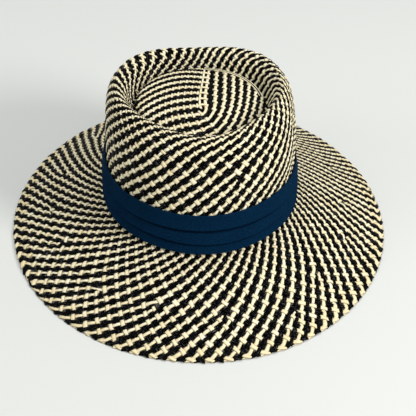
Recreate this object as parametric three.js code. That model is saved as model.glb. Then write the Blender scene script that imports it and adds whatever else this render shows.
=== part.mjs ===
// Wide-brim woven straw sun hat with a recessed crown tip and a pleated cloth band.
// Millimetres, +Z up. The hat stands on its brim edge at z = 0 and its front looks along -Y.
// Angles go round the hat from the front (0) by the right side (90) to the back (180).
import * as THREE from 'three';

// ---- driving sizes -------------------------------------------------------
const strawWall = 2;
const pieceGap = 0.3;
const segments = 64;
const columnsRound = 8;

const brimEdgeSideRadius = 166.4;
const brimEdgeFrontRadius = 176.3;
const brimEdgeWall = 2.6;
const brimRestWidth = 3;
const brimEdgeRounding = 0.6;
const brimSag = 1.2;
const collarFootThickening = 0.6;

const crownBaseHeight = 46;
const bandTopHeight = 82;
const bandFootHeight = 44;

// The crown from its middle outward and down: radius and height of every ring at the
// front, front corner, side, back corner and back. The left side mirrors the right.
const crownRings = [
  { name: 'tipMiddle', radius: [0, 0, 0, 0, 0], height: [131, 131, 131, 131, 131] },
  { name: 'tipHalfway', radius: [27, 27, 28, 27, 24], height: [131, 130.5, 130, 130, 131] },
  { name: 'tipEdge', radius: [52, 49, 54, 51, 46], height: [129, 128, 126.5, 128, 130] },
  { name: 'innerWall', radius: [61, 56.5, 61, 61, 52.5], height: [136, 136, 135, 135, 138] },
  { name: 'rimTop', radius: [67, 64, 69, 73, 60], height: [139, 140, 140, 141, 141.5] },
  { name: 'rimOuter', radius: [74, 74.5, 76, 80, 68], height: [136, 134, 134, 136, 138] },
  { name: 'shoulder', radius: [81, 83, 79.5, 86, 76], height: [126, 121, 122, 125, 128] },
  { name: 'upperWall', radius: [90, 88, 81.8, 89, 88.5], height: [104, 101, 102, 103, 105] },
  { name: 'bandTop', radius: [95, 89, 83.6, 89, 95], height: [82, 82, 82, 82, 82] },
  { name: 'bandFoot', radius: [97, 90.4, 84.8, 90.4, 97], height: [44, 44, 44, 44, 44] },
];
const crownSteps = [3, 3, 2, 3, 3, 3, 2, 2];

// The brim's upper face from the crown outward: share of its width, and height above the
// straight line that runs from the crown down to the edge.
const brimTopFace = [
  { name: 'fillet', share: 0.007, lift: 0.35 },
  { name: 'bend', share: 0.02, lift: 0 },
  { name: 'inner', share: 0.2, lift: 0.7 },
  { name: 'middle', share: 0.45, lift: 1 },
  { name: 'outer', share: 0.7, lift: 0.7 },
  { name: 'border', share: 0.88, lift: 0.3 },
  { name: 'edgeTop', share: 0.992, lift: 0 },
];

// The band's outer face from its top edge down: height, and distance off the crown.
// Three pleats, each lapping over the one below it.
const bandFace = [
  { name: 'topEdge', height: 82, standOff: 1.5 },
  { name: 'topPleatFold', height: 68.6, standOff: 2.9 },
  { name: 'topPleatReturn', height: 68, standOff: 1.8 },
  { name: 'middlePleatFold', height: 56.6, standOff: 3 },
  { name: 'middlePleatReturn', height: 56, standOff: 1.9 },
  { name: 'lowerPleatMiddle', height: 50, standOff: 2.6 },
  { name: 'footEdge', height: 44.6, standOff: 2.6 },
];
const bandFootInset = 1.2;

// ---- working helpers -----------------------------------------------------
const lerp = (from, to, share) => from + (to - from) * share;

// Smooth curve through four neighbouring values, read between the middle two.
function throughFour(before, start, end, after, share) {
  const bend = 2 * before - 5 * start + 4 * end - after;
  const twist = 3 * start - before - 3 * end + after;
  return start + 0.5 * share * (end - before + share * (bend + share * twist));
}

// Reads one row of a five-column table at any angle round the hat.
function readAround(row, angle) {
  const turn = (angle / (2 * Math.PI)) * columnsRound;
  const column = Math.floor(turn);
  const at = (step) => {
    const index = (column + step + columnsRound) % columnsRound;
    return row[Math.min(index, columnsRound - index)];
  };
  return throughFour(at(-1), at(0), at(1), at(2), turn - column);
}

const angleOf = (segment) => (segment / segments) * 2 * Math.PI;

function pointAt(angle, radius, height) {
  return new THREE.Vector3(radius * Math.sin(angle), -radius * Math.cos(angle), height);
}

function ellipseRadius(angle, sideRadius, frontRadius) {
  return 1 / Math.hypot(Math.sin(angle) / sideRadius, Math.cos(angle) / frontRadius);
}

// Outer radius of the crown's lower wall, straight between the band's foot and its top.
function wallRadius(angle, height) {
  const top = readAround(crownRings[crownRings.length - 2].radius, angle);
  const foot = readAround(crownRings[crownRings.length - 1].radius, angle);
  return lerp(foot, top, (height - bandFootHeight) / (bandTopHeight - bandFootHeight));
}

// One ring of the crown's outer face, a share of the way from ring `index` to the next.
function crownRing(index, share) {
  const last = crownRings.length - 1;
  const rows = [-1, 0, 1, 2].map((step) => crownRings[Math.min(Math.max(index + step, 0), last)]);
  return Array.from({ length: segments }, (_, segment) => {
    const angle = angleOf(segment);
    const radii = rows.map((row) => readAround(row.radius, angle));
    const heights = rows.map((row) => readAround(row.height, angle));
    return pointAt(angle, throughFour(...radii, share), throughFour(...heights, share));
  });
}

function wallRing(height) {
  return Array.from({ length: segments }, (_, segment) => {
    const angle = angleOf(segment);
    return pointAt(angle, wallRadius(angle, height), height);
  });
}

// Outward direction at every point of a stack of rings, from the points round it.
function ringNormals(rings, middle) {
  return rings.map((ring, row) => ring.map((point, segment) => {
    const inward = row > 0 ? rings[row - 1][segment] : middle;
    const outward = row < rings.length - 1 ? rings[row + 1][segment] : point;
    const down = new THREE.Vector3().subVectors(outward, inward);
    const next = ring[(segment + 1) % segments];
    const previous = ring[(segment + segments - 1) % segments];
    const round = new THREE.Vector3().subVectors(next, previous);
    return new THREE.Vector3().crossVectors(down, round).normalize();
  }));
}

function solidFrom(points, faces, name, material) {
  const geometry = new THREE.BufferGeometry();
  const numbers = points.flatMap((point) => [point.x, point.y, point.z]);
  geometry.setAttribute('position', new THREE.Float32BufferAttribute(numbers, 3));
  geometry.setIndex(faces.flat());
  geometry.computeVertexNormals();
  const mesh = new THREE.Mesh(geometry, material);
  mesh.name = name;
  return mesh;
}

// Two triangles between two rings of points that start at `inner` and `outer`.
function stitch(faces, inner, outer) {
  for (let segment = 0; segment < segments; segment += 1) {
    const next = (segment + 1) % segments;
    faces.push([inner + segment, outer + segment, outer + next]);
    faces.push([inner + segment, outer + next, inner + next]);
  }
}

// A ring-shaped solid: one closed outline carried round the hat. The outline goes
// outward along the upper face and back inward along the lower one.
function ringSolid(outline, name, material) {
  const points = outline.flatMap((spot) => Array.from({ length: segments }, (_, segment) => {
    const angle = angleOf(segment);
    return pointAt(angle, spot.radius(angle), spot.height);
  }));
  const faces = [];
  outline.forEach((_, row) => {
    stitch(faces, row * segments, ((row + 1) % outline.length) * segments);
  });
  return solidFrom(points, faces, name, material);
}

// ---- crown ---------------------------------------------------------------
// A thin straw shell: recessed tip, rounded rim, upright wall, open underneath.
function buildCrown(material) {
  const rings = [];
  crownSteps.forEach((steps, index) => {
    for (let step = index === 0 ? 1 : 0; step < steps; step += 1) {
      rings.push(crownRing(index, step / steps));
    }
  });
  rings.push(wallRing(bandTopHeight));
  rings.push(wallRing((bandTopHeight + crownBaseHeight) / 2));
  rings.push(wallRing(crownBaseHeight));

  const middle = pointAt(0, 0, crownRings[0].height[0]);
  const normals = ringNormals(rings, middle);
  const inside = rings.map((ring, row) => ring.map((point, segment) => (
    point.clone().addScaledVector(normals[row][segment], -strawWall)
  )));
  inside[inside.length - 1].forEach((point) => {
    point.z = crownBaseHeight;
  });

  const insideMiddle = middle.clone();
  insideMiddle.z -= strawWall;
  const points = [middle, ...rings.flat(), insideMiddle, ...inside.flat()];
  const insideStart = 1 + rings.length * segments;
  const faces = [];
  for (let segment = 0; segment < segments; segment += 1) {
    const next = (segment + 1) % segments;
    faces.push([0, 1 + segment, 1 + next]);
    faces.push([insideStart, insideStart + 1 + next, insideStart + 1 + segment]);
  }
  for (let row = 0; row < rings.length - 1; row += 1) {
    stitch(faces, 1 + row * segments, 1 + (row + 1) * segments);
    const innerRow = insideStart + 1 + row * segments;
    stitch(faces, innerRow + segments, innerRow);
  }
  const lastRow = (rings.length - 1) * segments;
  stitch(faces, 1 + lastRow, insideStart + 1 + lastRow);
  return solidFrom(points, faces, 'crown', material);
}

// ---- brim ----------------------------------------------------------------
// A shallow cone of straw with a short collar at the crown and a slightly thicker,
// turned-back edge that ends in a flat ring on the table.
function buildBrim(material) {
  const collarTop = crownBaseHeight - pieceGap;
  const crownFace = (angle) => wallRadius(angle, crownBaseHeight);
  const edge = (angle) => ellipseRadius(angle, brimEdgeSideRadius, brimEdgeFrontRadius);
  const across = (share, inset) => (angle) => lerp(crownFace(angle), edge(angle), share) - inset;
  const meetHeight = collarTop - strawWall;
  const slope = (meetHeight - brimEdgeWall) / (brimEdgeSideRadius - crownFace(Math.PI / 2));
  const tilt = Math.atan(slope);
  const heightAt = (share, lift) => lerp(meetHeight, brimEdgeWall, share) + lift * brimSag;
  const wallAt = (share) => lerp(strawWall, brimEdgeWall, Math.max(0, 2 * share - 1));

  const upper = brimTopFace.map((spot) => ({
    radius: across(spot.share, 0),
    height: heightAt(spot.share, spot.lift),
  }));
  const lower = brimTopFace.slice(1, -1).reverse().map((spot) => ({
    radius: across(spot.share, wallAt(spot.share) * Math.sin(tilt)),
    height: heightAt(spot.share, spot.lift) - wallAt(spot.share) * Math.cos(tilt),
  }));
  const outline = [
    { radius: across(0, strawWall), height: collarTop },
    { radius: across(0, 0), height: collarTop },
    ...upper,
    { radius: across(1, 0), height: brimEdgeWall / 2 },
    { radius: across(1, brimEdgeRounding), height: 0 },
    { radius: across(1, brimEdgeRounding + brimRestWidth), height: 0 },
    ...lower,
    { radius: across(0, strawWall), height: meetHeight - collarFootThickening },
  ];
  return ringSolid(outline, 'brim', material);
}

// ---- hat band ------------------------------------------------------------
// A strip of cloth laid round the foot of the crown in three lapping pleats.
function buildBand(material) {
  const offCrown = (height, standOff) => (angle) => wallRadius(angle, height) + standOff;
  const last = bandFace[bandFace.length - 1];
  const footTop = last.height + bandFootInset;
  const outline = [
    { radius: offCrown(bandFace[0].height, pieceGap), height: bandFace[0].height },
    ...bandFace.map((spot) => ({
      radius: offCrown(spot.height, spot.standOff),
      height: spot.height,
    })),
    { radius: offCrown(footTop, pieceGap), height: footTop },
  ];
  return ringSolid(outline, 'hat_band', material);
}

const group = new THREE.Group();
group.name = 'sun_hat';
group.add(
  buildCrown(new THREE.MeshStandardMaterial({ color: '#b8ab86', roughness: 0.7 })),
  buildBrim(new THREE.MeshStandardMaterial({ color: '#c2b48c', roughness: 0.7 })),
  buildBand(new THREE.MeshStandardMaterial({ color: '#12294a', roughness: 0.9 })),
);

export default group;
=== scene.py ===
# Wide-brim sun hat: two-colour woven straw with a pleated cloth band.
# Lengths in the tables are millimetres and become metres when a mesh is made.
# Angles go round the hat from the front (0) by the right side to the back.
import math

import bpy
import numpy as np
from mathutils import Matrix, Vector


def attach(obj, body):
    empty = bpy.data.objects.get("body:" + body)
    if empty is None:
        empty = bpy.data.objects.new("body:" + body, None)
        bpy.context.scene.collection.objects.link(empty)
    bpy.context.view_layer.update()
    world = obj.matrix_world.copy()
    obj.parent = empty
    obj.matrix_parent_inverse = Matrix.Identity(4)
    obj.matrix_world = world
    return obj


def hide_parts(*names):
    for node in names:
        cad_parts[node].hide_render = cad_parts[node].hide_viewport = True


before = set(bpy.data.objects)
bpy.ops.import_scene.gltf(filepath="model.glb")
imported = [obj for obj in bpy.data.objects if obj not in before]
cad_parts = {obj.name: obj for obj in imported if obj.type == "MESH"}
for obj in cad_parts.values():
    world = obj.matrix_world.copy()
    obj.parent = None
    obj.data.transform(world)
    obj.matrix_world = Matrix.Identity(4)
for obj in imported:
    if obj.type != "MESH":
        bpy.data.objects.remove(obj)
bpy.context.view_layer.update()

mm = 0.001
turn = 2 * math.pi
scene = bpy.context.scene


def lerp(start, end, share):
    return start + (end - start) * share


def smoothStep(low, high, value):
    share = np.clip((value - low) / (high - low), 0, 1)
    return share * share * (3 - 2 * share)


def unit(vectors):
    return vectors / np.maximum(np.linalg.norm(vectors, axis=-1, keepdims=True), 1e-9)


# Smooth curve through four neighbours, read between the middle two.
def throughFour(before, start, end, after, share):
    bend = 2 * before - 5 * start + 4 * end - after
    twist = 3 * start - before - 3 * end + after
    return start + 0.5 * share * (end - before + share * (bend + share * twist))


hatShape = {
    "brimEdgeSide": 166.4,  # half of the brim's width, and then of its length
    "brimEdgeFront": 176.3,
    "brimMeet": 43.7,  # height of the brim where it meets the crown
    "brimEdgeHeight": 2.6,
    "brimSag": 1.2,
    "brimEdgeSlope": 0.2,  # outward for each millimetre that the edge turns down
    "bandTop": 82.0,
    "bandFoot": 44.0,
    "lowestStraw": 1.0,  # no strand's middle comes nearer than this to the floor
    "strawDepth": 1.0,  # how far the middle of the weave lies under the outer face
}

# Radius and height of each ring of the crown at front, front corner, side, back corner, back.
# From the middle of the tip over its edge into the crease, up to the ridge and down the wall.
crownRadii = np.array([
    [0, 0, 0, 0, 0],
    [27, 27, 28, 27, 24],
    [49, 46, 51, 50, 46],
    [55, 51, 57, 56, 51],
    [61, 56.5, 61.5, 62.5, 54.5],
    [67, 64, 69, 73, 60],
    [74, 74.5, 76, 80, 68],
    [81, 83, 79.5, 86, 76],
    [90, 88, 80.8, 88.5, 88.5],
    [95, 89, 81.2, 88, 95],
    [97, 90.4, 82.6, 89.6, 97],
], float)
crownHeights = np.array([
    [131.5, 131.5, 131.5, 131.5, 131.5],
    [131, 131, 130.5, 131, 131.5],
    [128.5, 128, 127.5, 129, 130.5],
    [128.5, 127, 123.5, 123.5, 124.5],
    [136, 135.5, 134, 133.5, 135],
    [139, 140, 140, 141, 141.5],
    [136, 134, 134, 136, 138],
    [126, 121, 122, 125, 128],
    [104, 101, 102, 103, 105],
    [82, 82, 82, 82, 82],
    [44, 44, 44, 44, 44],
], float)
wallStart = 9  # the ring at the band's top, under which the wall is straight


# Reads five-column rows at any angle; the left side mirrors the right.
def readAround(row, angle):
    full = np.concatenate([row, row[3:0:-1]])
    place = (angle / turn * 8) % 8
    column = np.floor(place).astype(int)
    at = lambda step: full[(column + step) % 8]
    return throughFour(at(-1), at(0), at(1), at(2), place - column)


def crownPoint(ring, angle):
    ring, angle = np.broadcast_arrays(np.asarray(ring, float), np.asarray(angle, float))
    last = len(crownRadii) - 1
    index = np.clip(np.floor(ring).astype(int), 0, last - 1)
    share = ring - index
    found = []
    for table in (crownRadii, crownHeights):
        around = np.stack([readAround(row, angle) for row in table])
        at = lambda step: np.take_along_axis(around, np.clip(index + step, 0, last)[None], 0)[0]
        curved = throughFour(at(-1), at(0), at(1), at(2), share)
        found.append(np.where(index >= wallStart, lerp(at(0), at(1), share), curved))
    radius, height = found
    return np.stack([radius * np.sin(angle), -radius * np.cos(angle), height], -1)


def brimPoint(share, angle):
    share, angle = np.broadcast_arrays(np.asarray(share, float), np.asarray(angle, float))
    inner = readAround(crownRadii[-1], angle)
    sideways, endways = np.sin(angle) / hatShape["brimEdgeSide"], np.cos(angle) / hatShape["brimEdgeFront"]
    outer = 1 / np.hypot(sideways, endways)
    radius = lerp(inner, outer, np.minimum(share, 1))
    height = lerp(hatShape["brimMeet"], hatShape["brimEdgeHeight"], np.minimum(share, 1))
    height = height + hatShape["brimSag"] * 4 * np.clip(share * (1 - share), 0, 1)
    over = np.clip(share - 1, 0, 1) * 100  # past the edge the straw turns down round it
    radius = radius + hatShape["brimEdgeSlope"] * over
    return np.stack([radius * np.sin(angle), -radius * np.cos(angle), height - over], -1)


def faceNormal(point, across, angle, step=0.01):
    outward = point(across + step, angle) - point(across - step, angle)
    around = point(across, angle + step) - point(across, angle - step)
    return unit(np.cross(outward, around))


# Angles in degrees, lengths in millimetres.
cameraPlace = {
    "elevation": 40.17,
    "roll": -1.26,
    "yaw": 4.9,
    "distance": 950.0,
    "offset": (-8.4, -7.8),  # where the hat's origin lies from the middle of the view
    "lens": 89.6,
}


def makeCamera():
    data = bpy.data.cameras.new("hatCamera")
    data.sensor_width = 36
    data.lens = cameraPlace["lens"]
    data.clip_start = 0.05
    camera = bpy.data.objects.new("hatCamera", data)
    tilt, roll, yaw = (math.radians(cameraPlace[key]) for key in ("elevation", "roll", "yaw"))
    rolled = Matrix(((math.cos(roll), -math.sin(roll), 0), (math.sin(roll), math.cos(roll), 0), (0, 0, 1)))
    tipped = Matrix(((1, 0, 0), (0, math.sin(tilt), math.cos(tilt)), (0, -math.cos(tilt), math.sin(tilt))))
    turned = Matrix.Rotation(-yaw, 3, "Z") @ (rolled @ tipped).transposed()
    away = Vector((-cameraPlace["offset"][0], -cameraPlace["offset"][1], cameraPlace["distance"])) * mm
    camera.matrix_world = Matrix.Translation(turned @ away) @ turned.to_4x4()
    scene.collection.objects.link(camera)
    scene.camera = camera


makeCamera()
print("camera placed")


def newNode(tree, kind, place=(0, 0), **settings):
    node = tree.nodes.new(kind)
    node.location = place
    for key, value in settings.items():
        setattr(node, key, value)
    return node


def mathNode(tree, operation, first, second=None, third=None):
    node = newNode(tree, "ShaderNodeMath", operation=operation)
    for socket, value in zip(node.inputs, (first, second, third)):
        if value is None:
            continue
        if isinstance(value, (int, float)):
            socket.default_value = value
        else:
            tree.links.new(value, socket)
    return node.outputs[0]


def mixColour(tree, share, first, second):
    node = newNode(tree, "ShaderNodeMix", data_type="RGBA", blend_type="MIX")
    for socket, value in ((node.inputs["Factor"], share), (node.inputs[6], first), (node.inputs[7], second)):
        if isinstance(value, (int, float)):
            socket.default_value = value
        elif isinstance(value, tuple):
            socket.default_value = (*value, 1)
        else:
            tree.links.new(value, socket)
    return node.outputs[2]


def noiseNode(tree, vector, scale, detail=2.0, roughness=0.5):
    node = newNode(tree, "ShaderNodeTexNoise")
    node.inputs["Scale"].default_value = scale
    node.inputs["Detail"].default_value = detail
    node.inputs["Roughness"].default_value = roughness
    tree.links.new(vector, node.inputs["Vector"])
    return node.outputs["Fac"]


def mapRange(tree, value, low, high, toLow=0.0, toHigh=1.0):
    node = newNode(tree, "ShaderNodeMapRange")
    for index, number in ((1, low), (2, high), (3, toLow), (4, toHigh)):
        node.inputs[index].default_value = number
    tree.links.new(value, node.inputs[0])
    return node.outputs[0]


# Fibres that run along a flat strand of straw: streaks, edges and an uneven tone.
fibreLook = {
    "toneStep": 37.0,  # moves the pattern on from one strand to the next
    "patchesAlong": 45.0,
    "edge": (0.62, 0.98),
    "edgeDip": 0.5,
    "contrast": (0.3, 0.7),
}


def buildFibreGroup():
    group = bpy.data.node_groups.new("strawFibre", "ShaderNodeTree")
    for name, kind, value in (
        ("Along", "NodeSocketFloat", 0.0),
        ("Across", "NodeSocketFloat", 0.0),
        ("Tone", "NodeSocketFloat", 0.5),
        ("Streaks Along", "NodeSocketFloat", 120.0),
        ("Streaks Across", "NodeSocketFloat", 2.4),
    ):
        socket = group.interface.new_socket(name, in_out="INPUT", socket_type=kind)
        socket.default_value = value
    for name in ("Streak", "Edge", "Patch", "Height"):
        group.interface.new_socket(name, in_out="OUTPUT", socket_type="NodeSocketFloat")
    start = newNode(group, "NodeGroupInput", (-900, 0))
    end = newNode(group, "NodeGroupOutput", (900, 0))
    along = mathNode(group, "MULTIPLY", start.outputs["Along"], start.outputs["Streaks Along"])
    across = mathNode(group, "MULTIPLY", start.outputs["Across"], start.outputs["Streaks Across"])
    tone = mathNode(group, "MULTIPLY", start.outputs["Tone"], fibreLook["toneStep"])
    vector = newNode(group, "ShaderNodeCombineXYZ")
    group.links.new(along, vector.inputs[0])
    group.links.new(across, vector.inputs[1])
    group.links.new(tone, vector.inputs[2])
    streak = noiseNode(group, vector.outputs[0], 1.0, 3.0, 0.6)
    slow = newNode(group, "ShaderNodeCombineXYZ")
    patchAlong = mathNode(group, "MULTIPLY", start.outputs["Along"], fibreLook["patchesAlong"])
    group.links.new(patchAlong, slow.inputs[0])
    group.links.new(tone, slow.inputs[1])
    patch = noiseNode(group, slow.outputs[0], 1.0, 1.0)
    edge = mapRange(group, mathNode(group, "ABSOLUTE", start.outputs["Across"]), *fibreLook["edge"])
    dip = mathNode(group, "MULTIPLY", edge, fibreLook["edgeDip"])
    height = mathNode(group, "SUBTRACT", streak, dip)
    group.links.new(mapRange(group, streak, *fibreLook["contrast"]), end.inputs["Streak"])
    group.links.new(edge, end.inputs["Edge"])
    group.links.new(mapRange(group, patch, *fibreLook["contrast"]), end.inputs["Patch"])
    group.links.new(height, end.inputs["Height"])
    return group


fibreGroup = buildFibreGroup()


def newMaterial(name):
    material = bpy.data.materials.new(name)
    material.use_nodes = True
    tree = material.node_tree
    tree.nodes.clear()
    output = newNode(tree, "ShaderNodeOutputMaterial", (900, 0))
    shader = newNode(tree, "ShaderNodeBsdfPrincipled", (600, 0))
    tree.links.new(shader.outputs[0], output.inputs[0])
    return material, tree, shader


def attributeNode(tree, name):
    node = newNode(tree, "ShaderNodeAttribute", (-1200, 0), attribute_type="GEOMETRY", attribute_name=name)
    return node.outputs["Fac"]


def strawMaterial(name, look):
    material, tree, shader = newMaterial(name)
    fibre = newNode(tree, "ShaderNodeGroup", (-700, 0), node_tree=fibreGroup)
    tone = attributeNode(tree, "strandTone")
    tree.links.new(attributeNode(tree, "strandAlong"), fibre.inputs["Along"])
    tree.links.new(attributeNode(tree, "strandAcross"), fibre.inputs["Across"])
    tree.links.new(tone, fibre.inputs["Tone"])
    fibre.inputs["Streaks Along"].default_value = look["streaksAlong"]
    fibre.inputs["Streaks Across"].default_value = look["streaksAcross"]
    colour = mixColour(tree, fibre.outputs["Patch"], look["pale"], look["middle"])
    # Where the streaks peak: darker flecks on natural straw, and on black straw grey flecks that are painted
    # glints.
    fleck = mapRange(tree, fibre.outputs["Streak"], look["fleckAndGlintFrom"], 1.0)
    # The edge mask darkens each strand's edges: partly the straw's own edge tone, partly painted shade
    # between strands.
    for mask, share, over in (
        (fibre.outputs["Streak"], look["streakShare"], look["dark"]),
        (tone, look["toneShare"], look["toned"]),
        (fleck, look["fleckShare"], look["fleckAndGlintColour"]),
        (attributeNode(tree, "strandBorder"), look["borderShare"], look["borderColour"]),
        (fibre.outputs["Edge"], look["edgeToneAndShadeShare"], look["edgeToneAndShadeColour"]),
    ):
        colour = mixColour(tree, mathNode(tree, "MULTIPLY", mask, share), colour, over)
    tree.links.new(colour, shader.inputs["Base Color"])
    rough = mapRange(tree, fibre.outputs["Streak"], 0, 1, *look["rough"])
    tree.links.new(rough, shader.inputs["Roughness"])
    shader.inputs["Specular IOR Level"].default_value = look["specular"]
    bump = newNode(tree, "ShaderNodeBump", (300, -300))
    bump.inputs["Strength"].default_value = look["bump"]
    bump.inputs["Distance"].default_value = look["bumpDepth"]
    tree.links.new(fibre.outputs["Height"], bump.inputs["Height"])
    tree.links.new(bump.outputs[0], shader.inputs["Normal"])
    return material


naturalLook = {
    "pale": (0.905, 0.88, 0.68),
    "middle": (0.80, 0.735, 0.485),
    "dark": (0.52, 0.39, 0.19),
    "toned": (0.70, 0.56, 0.31),
    "borderColour": (0.66, 0.54, 0.29),
    # Darker strand edges: partly the straw's own edge tone, partly painted shade between strands.
    "edgeToneAndShadeColour": (0.34, 0.24, 0.11),
    "streakShare": 0.48,
    "toneShare": 0.36,
    "borderShare": 0.45,
    "edgeToneAndShadeShare": 0.6,
    "rough": (0.45, 0.65),
    "specular": 0.35,
    "streaksAlong": 260.0,
    "streaksAcross": 3.2,
    "bump": 0.6,
    "bumpDepth": 0.0003,
    "fleckAndGlintFrom": 0.75,
    "fleckShare": 0.25,
    "fleckAndGlintColour": (0.60, 0.46, 0.24),
}
blackLook = {
    "pale": (0.0005, 0.0005, 0.0006),
    "middle": (0.0009, 0.0009, 0.0010),
    "dark": (0.0003, 0.0003, 0.0003),
    "toned": (0.0018, 0.0017, 0.0017),
    "borderColour": (0.0030, 0.0028, 0.0028),
    "edgeToneAndShadeColour": (0.0008, 0.0008, 0.0008),
    "streakShare": 0.6,
    "toneShare": 0.3,
    "borderShare": 0.3,
    "edgeToneAndShadeShare": 0.5,
    "rough": (0.15, 0.38),
    "specular": 0.03,
    "streaksAlong": 260.0,
    "streaksAcross": 3.2,
    "bump": 1.0,
    "bumpDepth": 0.0003,
    # The grey flecks on black straw are painted glints, light put into the base colour.
    "fleckAndGlintFrom": 0.78,
    "fleckShare": 1.0,
    "fleckAndGlintColour": (0.130, 0.130, 0.135),
}
naturalStraw = strawMaterial("naturalStraw", naturalLook)
blackStraw = strawMaterial("blackStraw", blackLook)

# Two families of strands cross: the first leans one way, the second the other. Each is the set
# of whole-number levels of a smooth phase, so that both stay evenly spaced. Even levels are
# natural straw and odd ones black, and a fork adds one of each to both families.
angleGrid = np.linspace(-math.pi, math.pi, 1441)


# Lean of the strands round the hat: steady, right against left, front against back, and two
# parts that change twice round.
def leanAt(lean):
    steady, sides, ends, corners, quarters = lean
    angle = angleGrid[None]
    once = sides * np.sin(angle) + ends * np.cos(angle)
    return steady + once + corners * np.sin(2 * angle) + quarters * np.cos(2 * angle)


def familyPhase(weave, side, spreadAt):
    bounds = [-math.inf, *weave["zoneEnds"], math.inf]
    shift = 0
    for lean, low, high in zip(weave["leans"][side], bounds[:-1], bounds[1:]):
        run = np.clip(spreadAt, low, high) - min(max(weave["bendAt"], low), high)
        shift = shift + run * leanAt(lean)
    turned = angleGrid[None] + (shift if side == 0 else -shift)
    crowd, sharpen, towards = weave["crowded"][side]
    away = turned - math.radians(towards)
    evened = turned + crowd * np.sin(away) + sharpen / 2 * np.sin(2 * away)
    phase = weave["pairs"] * 2 / turn * evened
    spot = np.exp(spreadAt + 1j * angleGrid[None])
    for forkSpread, forkAngle in weave["forks"]:
        core = np.exp(forkSpread + 1j * forkAngle)
        phase = phase + np.angle(1 - spot / core) / math.pi
        phase = phase + 2 * ((spreadAt > forkSpread) & (angleGrid[None] > forkAngle))
    return np.maximum.accumulate(phase + 1e-6 * np.arange(len(angleGrid))[None], axis=1)


# Follows every level of a phase from row to row, as lists of row, angle, gap to its neighbours
# and parity. A fork moves the levels past it up by two.
def followLevels(phase, spreadAt, forks):
    count = int(round(phase[0, -1] - phase[0, 0]))
    owners = list(range(count))
    tracks = {owner: [] for owner in owners}
    pending = sorted(forks)
    before = None
    for row in range(len(phase)):
        while pending and before is not None and pending[0][0] < spreadAt[row, 0]:
            forkAngle = pending.pop(0)[1]
            left = [spot for spot in before if spot[1] < forkAngle]
            right = [(level + 2, angle, name) for level, angle, name in before if angle >= forkAngle]
            low = left[-1][0] if left else right[0][0] - 3
            fresh = []
            for extra in (1, 2):
                tracks[len(tracks)] = []
                fresh.append((low + extra, forkAngle, len(tracks) - 1))
            before = left + fresh + right
            count += 2
            owners = [None] * count
            for level, angle, name in before:
                owners[level % count] = name
        first = math.ceil(phase[row, 0])
        levels = list(range(first, first + count))
        angles = np.interp(levels, phase[row], angleGrid)
        names = [owners[level % count] for level in levels]
        wide = np.append(angles, angles[0] + turn)
        gaps = np.diff(wide)
        gaps = (gaps + np.roll(gaps, 1)) / 2
        for level, angle, name, gap in zip(levels, angles, names, gaps):
            tracks[name].append((row, angle, gap, level % 2))
        before = list(zip(levels, angles, names))
    return tracks


def smoothed(values, reach):
    if len(values) < 2 * reach + 3:
        return values
    kernel = np.ones(2 * reach + 1) / (2 * reach + 1)
    padded = np.concatenate([
        2 * values[0] - values[reach:0:-1],
        values,
        2 * values[-1] - values[-2:-reach - 2:-1],
    ])
    return np.convolve(padded, kernel, "valid")


# The strands of one colour in one part, as lists that bakeStrands joins.
class StrandSet:
    def __init__(self, natural):
        self.natural = natural
        self.points, self.ups, self.widths, self.alongs = [], [], [], []
        self.tones, self.borders, self.sizes = [], [], []

    def add(self, points, ups, widths, tone, border=0.0):
        if len(points) < 4:
            return
        ahead = unit(np.gradient(points, axis=0))
        ups = unit(ups - (ups * ahead).sum(1, keepdims=True) * ahead)
        steps = np.linalg.norm(np.diff(points, axis=0), axis=1)
        self.points.append(points)
        self.ups.append(ups)
        self.widths.append(widths)
        self.alongs.append(np.concatenate([[0], np.cumsum(steps)]) * mm)
        self.tones.append(np.full(len(points), tone))
        self.borders.append(np.zeros(len(points)) + border)
        self.sizes.append(len(points))


# What the strands of both weaves share.
strandHabit = {
    "stepsPerCrossing": 4,
    "shortest": (8, 6),  # shorter strands, in rows or in steps, are left out
    "fill": 0.88,
    "naturalWidth": (0.78, 0.9),  # natural straw's share of it, by family
    "wave": 0.58,
    "wander": 0.3,
    "widthWithin": 0.16,  # change of width along a strand
    "widthBetween": 0.05,  # and from one strand to the next
    "heightWithin": 0.06,
    "borderBlend": 0.004,  # the border begins over this share of the way
    "turnFrom": 0.972,  # past this share a strand bends to run along the edge
    "levelFrom": 0.93,
    "levelTo": 0.99,
}


# How far out each row of a surface lies, counted so that a step out weighs as much as a step round.
def spreadRows(weave, steps):
    ring = weave["place"](steps[:, None], angleGrid[None])
    surface = weave["point"](ring, angleGrid[None])
    radius = np.hypot(surface[..., 0], surface[..., 1])
    lengths = np.linalg.norm(np.diff(surface, axis=0), axis=-1)
    spreadStep = (lengths / (0.5 * (radius[1:] + radius[:-1]))).mean(1)
    return np.concatenate([[0], np.cumsum(spreadStep)])[:, None] + weave["spreadStart"]


# Places along a strand, at even steps between its crossings with the other family. Gives the
# count of crossings, the share of the way, the angle and the gap at each.
def alongStrand(track, other, steps):
    row = np.array([spot[0] for spot in track])
    angle = smoothed(np.unwrap([spot[1] for spot in track]), 4)
    gap = np.array([spot[2] for spot in track])
    inside = (angle + math.pi) % turn - math.pi
    crossing = np.array([np.interp(a, angleGrid, other[r]) for a, r in zip(inside, row)])
    crossing = smoothed(np.unwrap(crossing, period=2), 3)
    direction = 1 if crossing[-1] > crossing[0] else -1
    rising = np.maximum.accumulate(crossing * direction + 1e-7 * np.arange(len(row)))
    fine = strandHabit["stepsPerCrossing"]
    count = np.arange(math.ceil(rising[0] * fine), math.floor(rising[-1] * fine) + 1) / fine
    count = np.unique(np.concatenate([[rising[0]], count, [rising[-1]]]))
    return count, *(np.interp(count, rising, values) for values in (steps[row], angle, gap))


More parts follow.
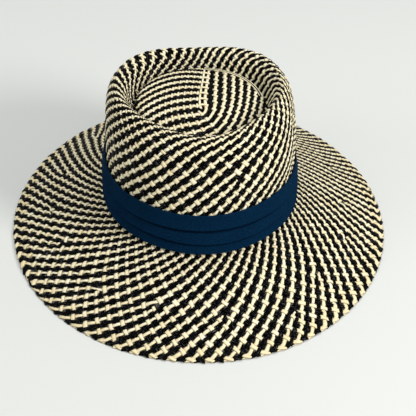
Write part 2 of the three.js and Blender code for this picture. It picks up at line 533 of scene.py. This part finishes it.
# Lays one strand on its surface, in waves that take it over and under the other family.
def layStrand(weave, side, isNatural, places, spreadOf, target, chance):
    count, share, around, gap = places
    outward, sideways = np.gradient(spreadOf(share)), np.gradient(around)
    slope = np.abs(outward) / np.maximum(np.hypot(outward, sideways), 1e-9)
    where = weave["place"](share, around)
    blend = strandHabit["borderBlend"]
    border = smoothStep(weave["breakAt"] - blend, weave["breakAt"] + blend, share)
    around = around + weave["borderJog"] * border
    sense = np.sign(around[-1] - around[-4])
    around = around + sense * weave["edgeTurn"] * smoothStep(strandHabit["turnFrom"], 1.0, share)
    middle = weave["point"](where, around)
    normal = faceNormal(weave["point"], np.minimum(where, weave["lastFacing"]), around)
    normal[:, 2] += weave["levelOut"] * smoothStep(strandHabit["levelFrom"], strandHabit["levelTo"], share)
    normal = unit(normal)
    pitch = smoothed(gap * np.hypot(middle[:, 0], middle[:, 1]) * slope, 3)
    fill = strandHabit["fill"]
    if isNatural:
        fill = fill * strandHabit["naturalWidth"][side] * (1 + weave["widerRight"] * np.sin(around))
    widths = np.minimum(weave["widest"], fill * pitch) * (1 + weave["borderWidth"] * border)
    uneven = smoothed(chance.normal(1, strandHabit["widthWithin"], len(widths)), 1)
    widths = widths * uneven * chance.normal(1, strandHabit["widthBetween"])
    over = strandHabit["wave"] * (1 if isNatural == (side == 1) else -1)
    height = over * np.cos(math.pi * count) + chance.normal(0, strandHabit["heightWithin"], len(count))
    height = height - hatShape["strawDepth"] + weave["lift"](share)
    across = unit(np.cross(normal, np.gradient(middle, axis=0)))
    wander = smoothed(chance.normal(0, strandHabit["wander"], len(count)), 1)
    points = middle + normal * height[:, None] + across * wander[:, None]
    points[:, 2] = np.maximum(points[:, 2], hatShape["lowestStraw"])
    target.add(points, normal, widths / 2, chance.random(), border)


# Lays the strands of both families over a surface and weaves them over and under.
def weaveSurface(weave, natural, black, seed):
    chance = np.random.default_rng(seed)
    steps = np.linspace(0, 1, weave["rows"])
    spreadAt = spreadRows(weave, steps)

    def spreadOf(share):
        return np.interp(share, steps, spreadAt[:, 0])

    forks = [(spreadOf(share), math.radians(degrees)) for share, degrees in weave["forks"]]
    zoneEnds = [spreadOf(share) for share in weave["zoneShares"]]
    plan = dict(weave, forks=forks, zoneEnds=zoneEnds, bendAt=spreadOf(weave["bendShare"]))
    phases = [familyPhase(plan, side, spreadAt) for side in (0, 1)]
    fewestRows, fewestSteps = strandHabit["shortest"]
    for side in (0, 1):
        for track in followLevels(phases[side], spreadAt, forks).values():
            if len(track) < fewestRows:
                continue
            places = alongStrand(track, phases[1 - side], steps)
            isNatural = track[0][3] == 0
            if len(places[0]) >= fewestSteps:
                layStrand(weave, side, isNatural, places, spreadOf, natural if isNatural else black, chance)


# The plait starts in the tip: rows on the left of a seam, columns on its right, and the
# columns turn round the seam's front end.
tipPlait = {
    "heart": (0.2, -16.9),
    "pitch": (3.07, 4.69),  # between neighbouring strands: columns, rows
    "tighter": 0.0108,  # how much closer they lie further out
    "seamTurn": 10.6,
    "seamCurl": (-30.0, 3.8),  # extra turn at the heart, and how far out it reaches
    "turning": (0.66, 0.31, 0.36, 0.51, 2.5),  # steady, right of the seam and reach, left and reach
    "closeUp": (0.45, 5.0, 0.5, -2.5),  # left of the heart columns crowd: most, reach, from, to
    "seamApart": (0.22, 1.5),  # the strand on the seam: how far to its left, and its pitch
    "droop": (0.0094, 6.0),  # the rows fall away on the left, past this distance
    "edge": [3.6, 3.4, 2.95, 2.85, 2.8],  # the ring where the tip ends, in five columns
    "lap": 0.12,
    "sink": (1.3, 0.3),  # how far the strands' ends go under the crown's, and how much they narrow
    "wave": 0.5,
    "seamLift": 0.25,
    "widest": 4.2,
    "fill": 0.9,
    "naturalWidth": 0.78,
    "widthWithin": 0.08,
    "heightWithin": 0.05,
    "reach": 22,  # strands on each side of the heart
    "step": 0.25,
}
# The tip's edge is pressed to a fold on the right: two natural strands with a black one between.
tipFold = {
    "start": 96,
    "end": 172,
    "rings": (-0.96, -0.88, -0.8),  # from the tip's edge inward to the middle
    "width": 0.75,
    "lift": 0.1,
}
plaitTurn = 0.75 * turn  # the squared-up plane of the plait is three quarters of a turn


def tipEdge(angle):
    return readAround(np.array(tipPlait["edge"], float), np.asarray(angle, float))


tipTurns = np.linspace(0, turn, 721)
steady, rightTurn, rightReach, leftTurn, leftReach = tipPlait["turning"]
tipRates = steady + rightTurn * np.exp(-tipTurns / rightReach)
tipRates = tipRates + leftTurn * np.exp((tipTurns - turn) / leftReach)
tipBends = np.concatenate([[0], np.cumsum(tipRates[1:] + tipRates[:-1])])
tipBends = tipBends / tipBends[-1] * plaitTurn


# Plan position of a place in the plait's own squared-up plane.
def tipPlan(size, bend):
    tighter = tipPlait["tighter"]
    reach = (np.sqrt(1 + 4 * tighter * size) - 1) / (2 * tighter)
    curl = tipPlait["seamCurl"][0] * np.exp(-reach / tipPlait["seamCurl"][1])
    way = np.interp(bend, tipBends, tipTurns) + np.radians(tipPlait["seamTurn"] + curl)
    x = tipPlait["heart"][0] + tipPlait["pitch"][0] * reach * np.sin(way)
    y = tipPlait["heart"][1] + tipPlait["pitch"][1] * reach * np.cos(way)
    return x, y - tipPlait["droop"][0] * np.maximum(-x - tipPlait["droop"][1], 0) ** 2


ringSteps = np.linspace(0, 5.4, 110)  # rings over which the tip can reach


# The crown's ring and angle over a place of the plan.
def ringUnder(x, y):
    angle = np.arctan2(x, -y)
    radius = np.hypot(x, y)
    table = np.stack([np.hypot(*crownPoint(np.full_like(angle, ring), angle).T[:2]) for ring in ringSteps])
    below = np.clip((table < radius[None]).sum(0), 1, len(ringSteps) - 1)
    low = np.take_along_axis(table, below[None] - 1, 0)[0]
    high = np.take_along_axis(table, below[None], 0)[0]
    share = np.clip((radius - low) / np.maximum(high - low, 1e-6), 0, 1)
    return lerp(ringSteps[below - 1], ringSteps[below], share), angle


def longestRun(flags):
    changes = np.flatnonzero(np.diff(np.concatenate([[0], flags.astype(int), [0]])))
    starts, stops = changes[::2], changes[1::2]
    longest = np.argmax(stops - starts)
    return slice(starts[longest], stops[longest])


# Lays the part of a strand that lies in the tip. The plane turns its places into size and bend.
def layTipStrand(plane, along, level, wave, target, chance, lift=0.0):
    ring, angle = ringUnder(*tipPlan(*plane(along, level)))
    inside = ring < tipEdge(angle) + tipPlait["lap"]
    if inside.sum() < 5:
        return
    keep = longestRun(inside)
    ring, angle, along, wave = ring[keep], angle[keep], along[keep], wave[keep]
    if len(ring) < 5:
        return
    aside = 0.5 if level > 0 else -0.5
    nearX, nearY = tipPlan(*plane(along, level + aside))
    backX, backY = tipPlan(*plane(along, level - aside))
    pitch = np.hypot(nearX - backX, nearY - backY)
    normal = faceNormal(crownPoint, np.maximum(ring, 0.05), angle, 0.02)
    sink = smoothStep(-0.3, tipPlait["lap"], ring - tipEdge(angle)) * tipPlait["sink"][0]
    height = tipPlait["wave"] * wave + chance.normal(0, tipPlait["heightWithin"], len(along))
    height = height - hatShape["strawDepth"] - sink + lift
    points = crownPoint(ring, angle) + normal * height[:, None]
    fill = tipPlait["fill"] * (tipPlait["naturalWidth"] if target.natural else 1)
    widths = np.minimum(tipPlait["widest"], fill * smoothed(pitch, 2)) * (1 - tipPlait["sink"][1] * sink)
    widths = widths * smoothed(chance.normal(1, tipPlait["widthWithin"], len(widths)), 1)
    target.add(points, normal, widths / 2, chance.random())


# Under the heart the columns that come round from the right lie nearer to the rows.
def pulled(level, along):
    most, reach, start, end = tipPlait["closeUp"]
    return level - most * np.exp(-level / reach) * smoothStep(start, end, along)


# The planes: each turns a place along a strand and the strand's level into size and bend.
def columnPlane(along, level):
    level = pulled(level, along)
    return np.hypot(along, level), np.arctan2(level, along) % turn


def leftColumnPlane(along, level):
    return np.hypot(along, level), np.arctan2(along, level) % turn


def rowPlane(along, level):
    right = np.arctan2(np.abs(along), level)
    left = np.arctan2(-level, np.minimum(along, -1e-9)) % turn
    return np.hypot(along, level), np.where(along >= 0, right, left)


def seamPlane(along, level):
    apart, pitch = tipPlait["seamApart"]
    return along, plaitTurn + (pitch * level - apart) / np.maximum(along, 0.5)


def weaveTip(natural, black, seed):
    chance = np.random.default_rng(seed)
    reach, step = tipPlait["reach"], tipPlait["step"]
    columns = [(column, natural if column % 2 == 0 else black) for column in range(reach)]
    for column, target in columns:  # from the right, round the front, to the left
        along = np.arange(reach, -reach, -step)
        count = np.where(along >= 0.5, along - 0.5, np.where(along <= -1, along, (along - 0.5) / 1.5))
        layTipStrand(columnPlane, along, column + 1.0, np.cos(math.pi * (count + column)), target, chance)
    for row in range(reach):  # across the seam
        right = np.arange(0, reach, step)
        rightWave = np.where(right < 1, (-1.0) ** (row + 1), np.cos(math.pi * (row + right)))
        left = np.arange(-reach, 0, step)
        wave = np.concatenate([-np.cos(math.pi * (row + left)), rightWave])
        target = natural if row % 2 else black
        layTipStrand(rowPlane, np.concatenate([left, right]), row + 0.5, wave, target, chance)
    for column, target in columns:  # from the left, round the front, to the right
        along = np.arange(-reach, reach, step)
        crossed = np.arange(1.0, reach + 1)
        met = pulled(crossed, -column - 1.0)
        count = np.interp(along, [-reach, -0.5, *met], [0.5 - reach, 0, *crossed])
        wave = np.cos(math.pi * (count - 1 + column))
        layTipStrand(leftColumnPlane, along, -(column + 1.0), wave, target, chance)
    along = np.arange(step, reach, step)  # the extra strand that lies on the seam
    wave = np.cos(math.pi * (along - 0.5))
    layTipStrand(seamPlane, along, 0.0, wave, natural, chance, tipPlait["seamLift"])
    foldStrands(natural, black, chance)


def foldStrands(natural, black, chance):
    angle = np.radians(np.linspace(tipFold["start"], tipFold["end"], 60))
    taper = np.sin(np.linspace(0.15, math.pi - 0.15, len(angle))) ** 0.4
    for inward, target in zip(tipFold["rings"], (natural, black, natural)):
        ring = tipEdge(angle) + inward
        normal = faceNormal(crownPoint, ring, angle, 0.02)
        points = crownPoint(ring, angle) + normal * tipFold["lift"]
        widths = tipFold["width"] * taper * chance.normal(1, 0.06, len(angle))
        target.add(points, normal, widths, chance.random())


# Settings of a weave. "leans" has a set for each family and each zone outward, as leanAt reads them.
# "crowded" is how much, how sharply and towards which angle each family crowds. "forks" are shares
# of the way and angles. These angles are in degrees.
crownWeave = {
    "point": crownPoint,
    "place": lambda share, angle: lerp(tipEdge(angle) - 0.04, 9.98, share),  # from the tip to the foot
    "rows": 240,
    "spreadStart": -0.40,
    "pairs": 44,
    "crowded": ((0.15, 0.0, 212), (0.08, -0.06, 157)),
    "zoneShares": (0.2, 0.56),
    "bendShare": 0.56,
    "leans": (
        ((0.81, -0.6, 0.0, 0.12, 0.07), (1.17, 0.63, 0.53, 0.14, -0.27), (1.14, 0.18, 0.02, -0.02, 0.12)),
        ((0.69, 0, -0.47, -0.33, -0.07), (1.26, -0.67, 0.33, -0.18, -0.19), (0.87, -0.18, -0.07, 0, 0.28)),
    ),
    "forks": [(0.65, 15), (0.5, -110), (0.55, 115), (0.6, -150), (0.52, 150), (0.66, 178)],
    "widest": 4.0,
    "widerRight": 0.08,
    "breakAt": 2.0,  # past the end, since the crown has no border
    "lastFacing": 9.98,
    "levelOut": 0.0,
    "borderWidth": 0.0,
    "edgeTurn": 0.0,
    "borderJog": 0.0,
    "lift": lambda share: -1.1 * (1 - smoothStep(0, 0.03, share)),  # starts under the tip's strands
}
brimBorder = {
    "start": 0.873,  # the border starts here, where the straw is turned back and locked
    "raised": (0.35, 0.9),  # how far, and full from this share on
    "lowered": (0.25, 0.96, 0.99),
    "groove": (0.8, 0.005),
}


def brimLift(share):
    start = brimBorder["start"]
    raised, raisedFrom = brimBorder["raised"]
    lowered, loweredFrom, loweredTo = brimBorder["lowered"]
    groove, grooveReach = brimBorder["groove"]
    step = raised * smoothStep(start, raisedFrom, share) - lowered * smoothStep(loweredFrom, loweredTo, share)
    return step - groove * np.exp(-((share - start) / grooveReach) ** 2)


brimWeave = {
    "point": brimPoint,
    "place": lambda share, angle: lerp(0.012, 1.01, share),  # from under the band over the edge
    "rows": 250,
    "spreadStart": 0.0115,
    "pairs": 80,
    "crowded": ((0.22, 0.08, 142), (0.22, 0.05, 160)),
    "zoneShares": (0.6,),
    "bendShare": 0.3,
    "leans": (
        ((0.82, -0.31, 0.08, 0.03, 0.0), (0.87, -0.53, 0.33, 0.07, 0.0)),
        ((0.7, 0.17, 0.1, 0.04, 0.0), (0.9, 0.47, 0.11, -0.1, 0.0)),
    ),
    "forks": [
        (0.55, -109), (0.60, -87), (0.57, -67), (0.62, -40), (0.56, -19), (0.60, 4), (0.74, 27), (0.57, 42),
        (0.61, 65), (0.56, 85), (0.60, 108), (0.57, 135), (0.61, 163), (0.58, -165), (0.60, -137),
    ],
    "widest": 3.8,
    "widerRight": 0.05,
    "breakAt": brimBorder["start"],
    "lastFacing": 0.98,  # strands past this place keep facing as they do here
    "levelOut": 1.6,  # and lie flatter near the edge
    "borderWidth": 0.05,
    "edgeTurn": 0.022,
    "borderJog": 0.006,
    "lift": brimLift,
}

# A strand is a line of points that Geometry Nodes gives a flat straw's skin.
strandShape = {"sides": 5, "flatness": 0.27, "scale": 1.0}


def buildStrandTree():
    tree = bpy.data.node_groups.new("flatStraw", "GeometryNodeTree")
    for name, way, kind in (
        ("Geometry", "INPUT", "Geometry"),
        ("Sides", "INPUT", "Int"),
        ("Flatness", "INPUT", "Float"),
        ("Width Scale", "INPUT", "Float"),
        ("Straw", "INPUT", "Material"),
        ("Geometry", "OUTPUT", "Geometry"),
    ):
        tree.interface.new_socket(name, in_out=way, socket_type="NodeSocket" + kind)
    start = newNode(tree, "NodeGroupInput", (-1200, 0))
    end = newNode(tree, "NodeGroupOutput", (1200, 0))
    link = tree.links.new

    def named(name, kind):
        node = newNode(tree, "GeometryNodeInputNamedAttribute", data_type=kind)
        node.inputs[0].default_value = name
        return node.outputs[0]

    lines = newNode(tree, "GeometryNodeMeshToCurve", (-900, 0))
    link(start.outputs["Geometry"], lines.inputs["Mesh"])
    facing = newNode(tree, "GeometryNodeSetCurveNormal", (-600, 0), mode="FREE")
    link(lines.outputs[0], facing.inputs["Curve"])
    link(named("strandUp", "FLOAT_VECTOR"), facing.inputs["Normal"])
    circle = newNode(tree, "GeometryNodeCurvePrimitiveCircle", (-900, -400))
    circle.inputs["Radius"].default_value = 1
    link(start.outputs["Sides"], circle.inputs["Resolution"])
    turned = newNode(tree, "GeometryNodeTransform", (-700, -400))
    turned.inputs["Rotation"].default_value = (0, 0, math.pi)
    link(circle.outputs[0], turned.inputs["Geometry"])
    where = newNode(tree, "GeometryNodeInputPosition", (-900, -700))
    split = newNode(tree, "ShaderNodeSeparateXYZ", (-700, -700))
    link(where.outputs[0], split.inputs[0])
    across = newNode(tree, "GeometryNodeStoreNamedAttribute", (-500, -400), data_type="FLOAT", domain="POINT")
    across.inputs["Name"].default_value = "strandAcross"
    link(turned.outputs[0], across.inputs["Geometry"])
    link(split.outputs["Y"], across.inputs["Value"])
    flat = newNode(tree, "ShaderNodeCombineXYZ", (-500, -700))
    link(start.outputs["Flatness"], flat.inputs["X"])
    flat.inputs["Y"].default_value = 1
    flat.inputs["Z"].default_value = 1
    squash = newNode(tree, "GeometryNodeTransform", (-300, -400))
    link(across.outputs[0], squash.inputs["Geometry"])
    link(flat.outputs[0], squash.inputs["Scale"])
    width = newNode(tree, "ShaderNodeMath", (-300, -200), operation="MULTIPLY")
    link(named("strandWide", "FLOAT"), width.inputs[0])
    link(start.outputs["Width Scale"], width.inputs[1])
    skin = newNode(tree, "GeometryNodeCurveToMesh", (0, 0))
    link(facing.outputs[0], skin.inputs["Curve"])
    link(squash.outputs[0], skin.inputs["Profile Curve"])
    link(width.outputs[0], skin.inputs["Scale"])
    skin.inputs["Fill Caps"].default_value = True
    pair = newNode(tree, "ShaderNodeCombineXYZ", (0, -400))
    link(named("strandAlong", "FLOAT"), pair.inputs["X"])
    link(named("strandAcross", "FLOAT"), pair.inputs["Y"])
    store = newNode(tree, "GeometryNodeStoreNamedAttribute", (300, 0), data_type="FLOAT2", domain="CORNER")
    store.inputs["Name"].default_value = "UVMap"
    link(skin.outputs[0], store.inputs["Geometry"])
    link(pair.outputs[0], store.inputs["Value"])
    soft = newNode(tree, "GeometryNodeSetShadeSmooth", (500, 0))
    link(store.outputs[0], soft.inputs["Geometry"])
    real = newNode(tree, "GeometryNodeRealizeInstances", (700, 0))
    link(soft.outputs[0], real.inputs[0])
    finish = newNode(tree, "GeometryNodeSetMaterial", (900, 0))
    link(real.outputs[0], finish.inputs["Geometry"])
    link(start.outputs["Straw"], finish.inputs["Material"])
    link(finish.outputs[0], end.inputs[0])
    return tree


strandTree = buildStrandTree()


def setInput(modifier, name, value):
    for item in modifier.node_group.interface.items_tree:
        if item.item_type == "SOCKET" and item.in_out == "INPUT" and item.name == name:
            modifier[item.identifier] = value


def bakeStrands(name, strands, material):
    points = np.concatenate(strands.points) * mm
    mesh = bpy.data.meshes.new(name + "Lines")
    edges, first = [], 0
    for size in strands.sizes:
        run = np.arange(first, first + size - 1)
        edges.append(np.stack([run, run + 1], 1))
        first += size
    edges = np.concatenate(edges)
    mesh.vertices.add(len(points))
    mesh.vertices.foreach_set("co", points.astype(np.float32).ravel())
    mesh.edges.add(len(edges))
    mesh.edges.foreach_set("vertices", edges.astype(np.int32).ravel())
    for key, kind, field, values in (
        ("strandUp", "FLOAT_VECTOR", "vector", np.concatenate(strands.ups)),
        ("strandWide", "FLOAT", "value", np.concatenate(strands.widths) * mm),
        ("strandAlong", "FLOAT", "value", np.concatenate(strands.alongs)),
        ("strandTone", "FLOAT", "value", np.concatenate(strands.tones)),
        ("strandBorder", "FLOAT", "value", np.concatenate(strands.borders)),
    ):
        layer = mesh.attributes.new(key, kind, "POINT")
        layer.data.foreach_set(field, values.astype(np.float32).ravel())
    source = bpy.data.objects.new(name + "Lines", mesh)
    scene.collection.objects.link(source)
    modifier = source.modifiers.new("flatStraw", "NODES")
    modifier.node_group = strandTree
    setInput(modifier, "Sides", strandShape["sides"])
    setInput(modifier, "Flatness", strandShape["flatness"])
    setInput(modifier, "Width Scale", strandShape["scale"])
    setInput(modifier, "Straw", material)
    graph = bpy.context.evaluated_depsgraph_get()
    baked = bpy.data.meshes.new_from_object(source.evaluated_get(graph), depsgraph=graph)
    source.modifiers.remove(modifier)
    bpy.data.objects.remove(source)
    baked.name = name
    piece = bpy.data.objects.new(name, baked)
    scene.collection.objects.link(piece)
    baked.calc_loop_triangles()
    print(name, "strands", len(strands.sizes), "triangles", len(baked.loop_triangles))
    return piece


crownNatural, crownBlack = StrandSet(True), StrandSet(False)
weaveTip(crownNatural, crownBlack, 11)
weaveSurface(crownWeave, crownNatural, crownBlack, 12)
print("crown woven")
brimNatural, brimBlack = StrandSet(True), StrandSet(False)
weaveSurface(brimWeave, brimNatural, brimBlack, 13)
print("brim woven")

strawPieces = [
    (bakeStrands("crownNaturalStraw", crownNatural, naturalStraw), "crown", "natural_straw"),
    (bakeStrands("crownBlackStraw", crownBlack, blackStraw), "crown", "black_straw"),
    (bakeStrands("brimNaturalStraw", brimNatural, naturalStraw), "brim", "natural_straw"),
    (bakeStrands("brimBlackStraw", brimBlack, blackStraw), "brim", "black_straw"),
]
for piece, node, slot in strawPieces:
    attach(piece, "root")
    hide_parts(node)

# Hat band: one closed cloth form laid in three pleats.
bandLook = {
    "turns": 288,
    "wander": ((2, 0.6, 0.4), (3, 0.45, 2.1), (5, 0.3, 1.0)),  # waves: times round, size, start
    "puff": ((7, 0.25, 0.7), (11, 0.2, 2.9)),
    "puffShare": 0.35,
    "upperRows": 14,
    "lowerWander": -0.8,  # the lower pleat line wanders the other way, and less
    "creaseShadeRows": (13, 22),  # rows of the outline where one pleat goes under the next, where painted shade darkens the cloth
    "grainRadius": 94.0,
    "closing": 4.0,  # from the last row of the outline back to the first
}
# Height, distance off the crown, and how much the place wanders up and down round the hat.
bandOutline = [
    (82.6, 0.4, 0.0), (82.9, 0.8, 0.0), (82.7, 1.2, 0.0), (82.0, 1.4, 0.0), (79.5, 1.6, 0.1),
    (76.0, 1.9, 0.2), (72.5, 2.4, 0.5), (70.2, 2.9, 0.8), (68.8, 3.4, 1.0), (68.2, 3.2, 1.0),
    (68.2, 2.0, 1.0), (68.4, 0.8, 1.0), (67.2, 0.3, 0.9), (65.8, 0.8, 0.7), (63.4, 2.1, 0.4),
    (60.0, 2.8, 0.6), (57.6, 3.5, 0.9), (56.3, 3.9, 1.1), (55.6, 3.7, 1.1), (55.6, 2.7, 1.1),
    (55.8, 1.0, 1.1), (54.6, 0.4, 1.0), (53.2, 0.9, 0.7), (50.8, 2.3, 0.3), (48.0, 3.0, 0.2),
    (46.2, 3.4, 0.1), (45.4, 3.5, 0.0), (45.0, 3.1, 0.0), (45.2, 2.4, 0.0), (46.0, 1.8, 0.0),
    (48.0, 1.0, 0.0), (56.0, 0.6, 0.0), (68.0, 0.4, 0.0), (78.0, 0.3, 0.0),
]
bandSteps = np.diff(np.array(bandOutline)[:, :2], axis=0)
bandLengths = np.concatenate([[0], np.cumsum(np.hypot(bandSteps[:, 0], bandSteps[:, 1]))])


def ripple(angle, waves):
    return sum(size * np.sin(times * angle + start) for times, size, start in waves)


def buildBand():
    turns = bandLook["turns"]
    angle = np.linspace(0, turn, turns, endpoint=False)
    wander, puff = ripple(angle, bandLook["wander"]), ripple(angle, bandLook["puff"])
    top = readAround(crownRadii[-2], angle)
    foot = readAround(crownRadii[-1], angle)
    rings = []
    for row, (height, off, loose) in enumerate(bandOutline):
        z = height + loose * wander * (1.0 if row < bandLook["upperRows"] else bandLook["lowerWander"])
        wall = lerp(foot, top, (z - hatShape["bandFoot"]) / (hatShape["bandTop"] - hatShape["bandFoot"]))
        radius = wall + off + loose * bandLook["puffShare"] * puff
        rings.append(np.stack([radius * np.sin(angle), -radius * np.cos(angle), z], -1))
    points = np.concatenate(rings) * mm
    count = len(rings)
    faces, around = [], []
    for row in range(count):
        nextRow = (row + 1) % count
        for column in range(turns):
            nextColumn = (column + 1) % turns
            faces.append((row * turns + column, nextRow * turns + column,
                          nextRow * turns + nextColumn, row * turns + nextColumn))
            around.append((row, column))
    mesh = bpy.data.meshes.new("hatBandCloth")
    mesh.from_pydata(points.tolist(), [], faces)
    layer = mesh.uv_layers.new(name="UVMap")
    lengths = np.append(bandLengths, bandLengths[-1] + bandLook["closing"])
    step = turn * bandLook["grainRadius"] / turns
    spots = []
    for row, column in around:
        spots += [(column * step, lengths[row]), (column * step, lengths[row + 1]),
                  ((column + 1) * step, lengths[row + 1]), ((column + 1) * step, lengths[row])]
    layer.data.foreach_set("uv", (np.array(spots) * mm).astype(np.float32).ravel())
    mesh.shade_smooth()
    piece = bpy.data.objects.new("hatBandCloth", mesh)
    scene.collection.objects.link(piece)
    smooth = piece.modifiers.new("softCloth", "SUBSURF")
    smooth.levels = smooth.render_levels = 1
    return piece


clothLook = {
    "threads": (0.00055, 0.0005),  # between threads, along the band and up it, in metres
    "deep": ((0.0005, 0.0080, 0.025), (0.0009, 0.0128, 0.037)),
    "fleck": (0.0038, 0.030, 0.072),
    "fleckShare": 0.75,
    # Painted shade in the pleats' grooves: its colour, strength and reach.
    "creaseShade": (0.0002, 0.0020, 0.0080),
    "creaseShadeShare": 0.75,
    "creaseShadeReach": (0.0004, 0.0016),
    # Painted shade between threads: its colour and strength.
    "gap": (0.0008, 0.005, 0.014),
    "gapShadeShare": 0.35,
    "rough": (0.72, 0.9),
    "sheen": 0.004,
    "sheenRough": 0.45,
    "sheenTint": (0.25, 0.5, 0.8),
    "specular": 0.01,
    "relief": 0.6,
    "bump": 0.8,
    "bumpDepth": 0.0004,
}


def clothMaterial():
    look = clothLook
    material, tree, shader = newMaterial("navyCloth")
    place = newNode(tree, "ShaderNodeUVMap", (-1400, 0), uv_map="UVMap").outputs[0]
    split = newNode(tree, "ShaderNodeSeparateXYZ", (-1200, 0))
    tree.links.new(place, split.inputs[0])

    def thread(axis, pitch):
        wave = mathNode(tree, "SINE", mathNode(tree, "MULTIPLY", split.outputs[axis], turn / pitch))
        return mathNode(tree, "MULTIPLY_ADD", wave, 0.5, 0.5)

    warp = thread("X", look["threads"][0])
    weft = thread("Y", look["threads"][1])
    weaveHeight = mathNode(tree, "MULTIPLY", warp, weft)
    coarse = noiseNode(tree, place, 700.0, 3.0, 0.65)
    broad = noiseNode(tree, place, 45.0, 3.0, 0.55)
    colour = mixColour(tree, mapRange(tree, broad, 0.3, 0.7), *look["deep"])
    fleck = mapRange(tree, coarse, 0.35, 0.7, 0.0, look["fleckShare"])
    colour = mixColour(tree, fleck, colour, look["fleck"])
    # Painted shade: a narrow dark strip along each pleat's groove.
    for row in bandLook["creaseShadeRows"]:
        away = mathNode(tree, "SUBTRACT", split.outputs["Y"], bandLengths[row] * mm)
        away = mathNode(tree, "ABSOLUTE", away)
        creaseShade = mapRange(tree, away, *look["creaseShadeReach"], look["creaseShadeShare"], 0.0)
        colour = mixColour(tree, creaseShade, colour, look["creaseShade"])
    # Painted shade: the colour darkens towards the gap colour where the threads lie low, between them.
    gap = mapRange(tree, weaveHeight, -0.5, 0.6, look["gapShadeShare"], 0.0)
    tree.links.new(mixColour(tree, gap, colour, look["gap"]), shader.inputs["Base Color"])
    tree.links.new(mapRange(tree, coarse, 0.2, 0.8, *look["rough"]), shader.inputs["Roughness"])
    shader.inputs["Sheen Weight"].default_value = look["sheen"]
    shader.inputs["Sheen Roughness"].default_value = look["sheenRough"]
    shader.inputs["Sheen Tint"].default_value = (*look["sheenTint"], 1)
    shader.inputs["Specular IOR Level"].default_value = look["specular"]
    woven = mathNode(tree, "MULTIPLY", weaveHeight, look["relief"])
    height = mathNode(tree, "ADD", woven, mathNode(tree, "MULTIPLY", coarse, look["relief"]))
    bump = newNode(tree, "ShaderNodeBump", (300, -300))
    bump.inputs["Strength"].default_value = look["bump"]
    bump.inputs["Distance"].default_value = look["bumpDepth"]
    tree.links.new(height, bump.inputs["Height"])
    tree.links.new(bump.outputs[0], shader.inputs["Normal"])
    return material


band = buildBand()
band.data.materials.append(clothMaterial())
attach(band, "root")
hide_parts("hat_band")
print("band made")

# Each lamp's name, place, target, size, power and colour.
roomLook = {
    "lamps": (
        ("windowLight", (1.2, -0.95, 1.0), (0.05, -0.05, 0.05), 0.55, 26.5, (1.0, 0.995, 0.985)),
        ("ceilingLight", (0.0, 0.45, 1.7), (0.0, 0.2, 0.0), 1.0, 11.0, (1.0, 1.0, 1.0)),
        ("sideLight", (-1.2, -0.5, 0.9), (-0.05, -0.05, 0.05), 0.8, 4.2, (1.0, 1.0, 1.0)),
    ),
    "floorHalf": 8.0,
    "floorColour": (0.62, 0.628, 0.606),
    "floorShade": 0.97,
    "floorRough": 0.75,
    "worldColour": (0.94, 0.96, 0.96),
    "worldStrength": 0.57,
}


def buildFloor():
    mesh = bpy.data.meshes.new("paleFloor")
    half = roomLook["floorHalf"]
    corners = [(-half, -half, 0), (half, -half, 0), (half, half, 0), (-half, half, 0)]
    mesh.from_pydata(corners, [], [(0, 1, 2, 3)])
    floor = bpy.data.objects.new("paleFloor", mesh)
    scene.collection.objects.link(floor)
    material, tree, shader = newMaterial("paleFloor")
    place = newNode(tree, "ShaderNodeTexCoord", (-900, 0)).outputs["Object"]
    cloud = noiseNode(tree, place, 3.0, 2.0)
    low = tuple(value * roomLook["floorShade"] for value in roomLook["floorColour"])
    tree.links.new(mixColour(tree, cloud, low, roomLook["floorColour"]), shader.inputs["Base Color"])
    shader.inputs["Roughness"].default_value = roomLook["floorRough"]
    mesh.materials.append(material)


def addLamp(name, place, target, size, power, colour):
    data = bpy.data.lights.new(name, "AREA")
    data.shape = "DISK"
    data.size = size
    data.energy = power
    data.color = colour
    lamp = bpy.data.objects.new(name, data)
    lamp.location = place
    lamp.rotation_euler = (Vector(target) - Vector(place)).to_track_quat("-Z", "Y").to_euler()
    scene.collection.objects.link(lamp)


def buildLight():
    world = bpy.data.worlds.new("paleRoom")
    world.use_nodes = True
    backdrop = world.node_tree.nodes["Background"]
    backdrop.inputs["Color"].default_value = (*roomLook["worldColour"], 1)
    backdrop.inputs["Strength"].default_value = roomLook["worldStrength"]
    scene.world = world
    for lamp in roomLook["lamps"]:
        addLamp(*lamp)


buildFloor()
buildLight()
scene.view_settings.view_transform = "Standard"
print("room lit")
